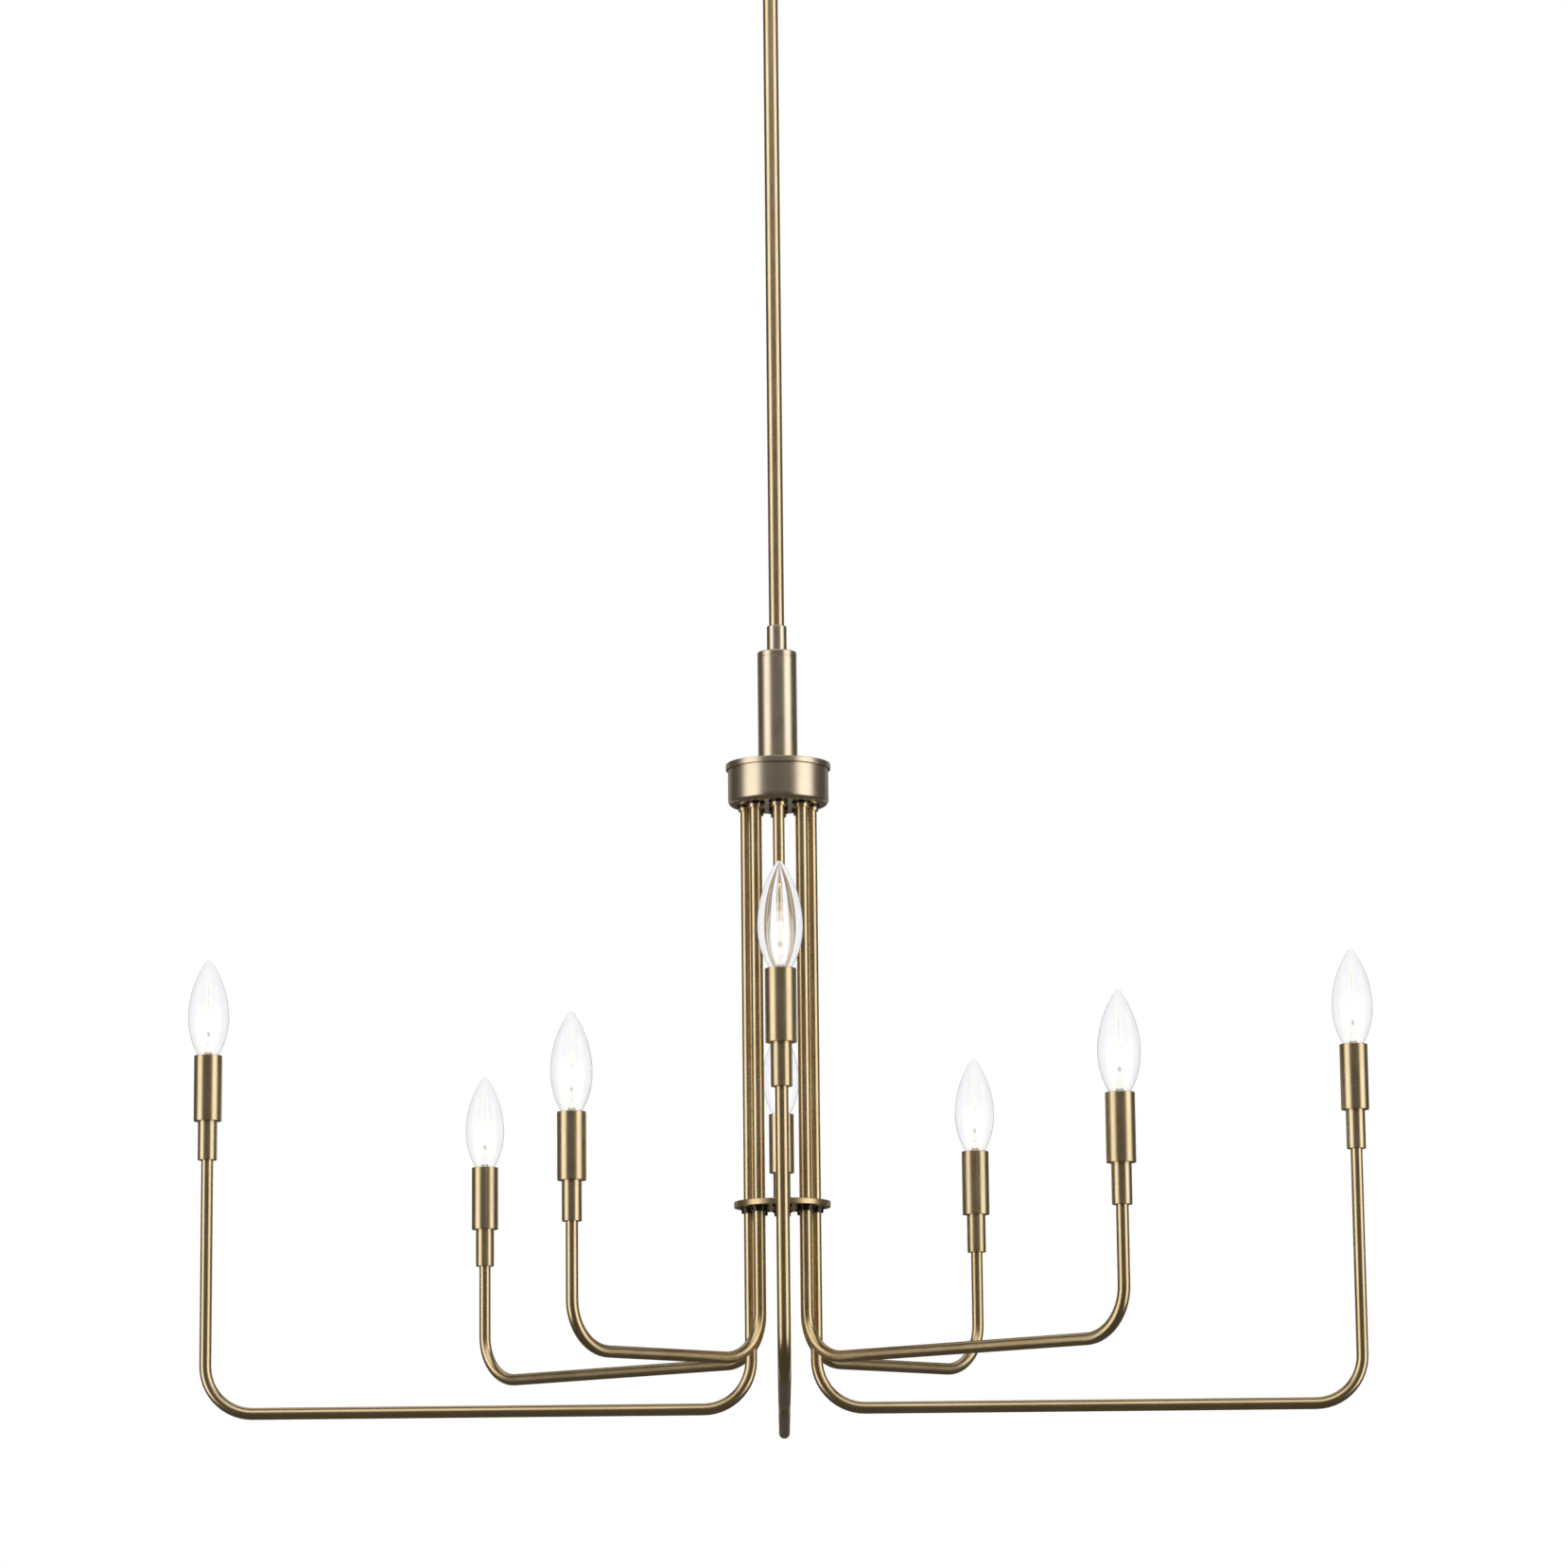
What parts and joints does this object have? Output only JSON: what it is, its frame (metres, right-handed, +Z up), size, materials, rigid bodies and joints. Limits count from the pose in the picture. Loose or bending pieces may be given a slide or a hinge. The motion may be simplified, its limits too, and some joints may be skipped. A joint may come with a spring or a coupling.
{
  "type": "multi arm chandelier",
  "caption": "Rod-hung brass candle chandelier: bent tube arms on two levels spread from a round hub and carry upright sleeves with clear torpedo lamps.",
  "frame": {"origin": "centre of the mounting crossbar's top face, in the ceiling plane, midway between its two box screw holes", "axes": "+Z up out of the ceiling, +X along the crossbar and along one long arm, the stem hangs down -Z"},
  "size_m": [1.0022, 1.0022, 1.335],
  "materials": {
    "brass": "satin brushed, aged",
    "candle_brass": "satin brushed, aged",
    "hub_brass": "satin brushed, champagne",
    "fastener_steel": "dark plated",
    "socket_plastic": "moulded phenolic",
    "lamp_glass": "clear blown glass with a nickel screw cap",
    "lead_sleeve": "clear gold lead insulation",
    "connector_plastic": "moulded"
  },
  "bodies": {
    "ceiling_mount": {"mounting_crossbar": "fastener_steel", "canopy": "hub_brass", "canopy_screws": "hub_brass"},
    "swivel_head": {"swivel_fork": "hub_brass", "canopy_lock_nut": "fastener_steel", "swivel_pin": "fastener_steel"},
    "stem_and_hub": {"swivel_eye": "hub_brass", "stem_rod": "brass", "stem_collar": "hub_brass", "column_cap": "hub_brass", "column_tube": "hub_brass", "hub_lid": "hub_brass", "hub_cup": "hub_brass", "hub_nipple": "fastener_steel", "hub_nuts": "fastener_steel", "arm_lock_nuts": "fastener_steel", "spacer_disc": "hub_brass", "wire_connectors": "connector_plastic", "supply_lead": "lead_sleeve"},
    "arm_1": {"arm_1_tube": "brass", "arm_1_neck": "candle_brass", "arm_1_sleeve": "candle_brass", "arm_1_socket": "socket_plastic"},
    "bulb_1": {"bulb_1": "lamp_glass"},
    "arm_2": {"arm_2_tube": "brass", "arm_2_neck": "candle_brass", "arm_2_sleeve": "candle_brass", "arm_2_socket": "socket_plastic"},
    "bulb_2": {"bulb_2": "lamp_glass"},
    "arm_3": {"arm_3_tube": "brass", "arm_3_neck": "candle_brass", "arm_3_sleeve": "candle_brass", "arm_3_socket": "socket_plastic"},
    "bulb_3": {"bulb_3": "lamp_glass"},
    "arm_4": {"arm_4_tube": "brass", "arm_4_neck": "candle_brass", "arm_4_sleeve": "candle_brass", "arm_4_socket": "socket_plastic"},
    "bulb_4": {"bulb_4": "lamp_glass"},
    "arm_5": {"arm_5_tube": "brass", "arm_5_neck": "candle_brass", "arm_5_sleeve": "candle_brass", "arm_5_socket": "socket_plastic"},
    "bulb_5": {"bulb_5": "lamp_glass"},
    "arm_6": {"arm_6_tube": "brass", "arm_6_neck": "candle_brass", "arm_6_sleeve": "candle_brass", "arm_6_socket": "socket_plastic"},
    "bulb_6": {"bulb_6": "lamp_glass"},
    "arm_7": {"arm_7_tube": "brass", "arm_7_neck": "candle_brass", "arm_7_sleeve": "candle_brass", "arm_7_socket": "socket_plastic"},
    "bulb_7": {"bulb_7": "lamp_glass"},
    "arm_8": {"arm_8_tube": "brass", "arm_8_neck": "candle_brass", "arm_8_sleeve": "candle_brass", "arm_8_socket": "socket_plastic"},
    "bulb_8": {"bulb_8": "lamp_glass"}
  },
  "joints": [
    {"name": "stem_turn", "type": "hinge", "parent": "ceiling_mount", "child": "swivel_head", "pos_m": [0, 0, -0.025], "axis": [0, 0, 1], "range_deg": [-170, 170]},
    {"name": "stem_tilt", "type": "hinge", "parent": "swivel_head", "child": "stem_and_hub", "pos_m": [0, 0, -0.044], "axis": [1, 0, 0], "range_deg": [-30, 30]},
    {"name": "arm_1_swing", "type": "hinge", "parent": "stem_and_hub", "child": "arm_1", "pos_m": [0.0275, 0, -0.83], "axis": [0, 0, 1], "range_deg": [-40, 40]},
    {"name": "bulb_1_out", "type": "slide", "parent": "arm_1", "child": "bulb_1", "axis": [0, 0, 1], "range_m": [0, 0.02]},
    {"name": "arm_2_swing", "type": "hinge", "parent": "stem_and_hub", "child": "arm_2", "pos_m": [0.01945, 0.01945, -0.83], "axis": [0, 0, 1], "range_deg": [-40, 40]},
    {"name": "bulb_2_out", "type": "slide", "parent": "arm_2", "child": "bulb_2", "axis": [0, 0, 1], "range_m": [0, 0.02]},
    {"name": "arm_3_swing", "type": "hinge", "parent": "stem_and_hub", "child": "arm_3", "pos_m": [0, 0.0275, -0.83], "axis": [0, 0, 1], "range_deg": [-40, 40]},
    {"name": "bulb_3_out", "type": "slide", "parent": "arm_3", "child": "bulb_3", "axis": [0, 0, 1], "range_m": [0, 0.02]},
    {"name": "arm_4_swing", "type": "hinge", "parent": "stem_and_hub", "child": "arm_4", "pos_m": [-0.01945, 0.01945, -0.83], "axis": [0, 0, 1], "range_deg": [-40, 40]},
    {"name": "bulb_4_out", "type": "slide", "parent": "arm_4", "child": "bulb_4", "axis": [0, 0, 1], "range_m": [0, 0.02]},
    {"name": "arm_5_swing", "type": "hinge", "parent": "stem_and_hub", "child": "arm_5", "pos_m": [-0.0275, 0, -0.83], "axis": [0, 0, 1], "range_deg": [-40, 40]},
    {"name": "bulb_5_out", "type": "slide", "parent": "arm_5", "child": "bulb_5", "axis": [0, 0, 1], "range_m": [0, 0.02]},
    {"name": "arm_6_swing", "type": "hinge", "parent": "stem_and_hub", "child": "arm_6", "pos_m": [-0.01945, -0.01945, -0.83], "axis": [0, 0, 1], "range_deg": [-40, 40]},
    {"name": "bulb_6_out", "type": "slide", "parent": "arm_6", "child": "bulb_6", "axis": [0, 0, 1], "range_m": [0, 0.02]},
    {"name": "arm_7_swing", "type": "hinge", "parent": "stem_and_hub", "child": "arm_7", "pos_m": [0, -0.0275, -0.83], "axis": [0, 0, 1], "range_deg": [-40, 40]},
    {"name": "bulb_7_out", "type": "slide", "parent": "arm_7", "child": "bulb_7", "axis": [0, 0, 1], "range_m": [0, 0.02]},
    {"name": "arm_8_swing", "type": "hinge", "parent": "stem_and_hub", "child": "arm_8", "pos_m": [0.01945, -0.01945, -0.83], "axis": [0, 0, 1], "range_deg": [-40, 40]},
    {"name": "bulb_8_out", "type": "slide", "parent": "arm_8", "child": "bulb_8", "axis": [0, 0, 1], "range_m": [0, 0.02]}
  ]
}
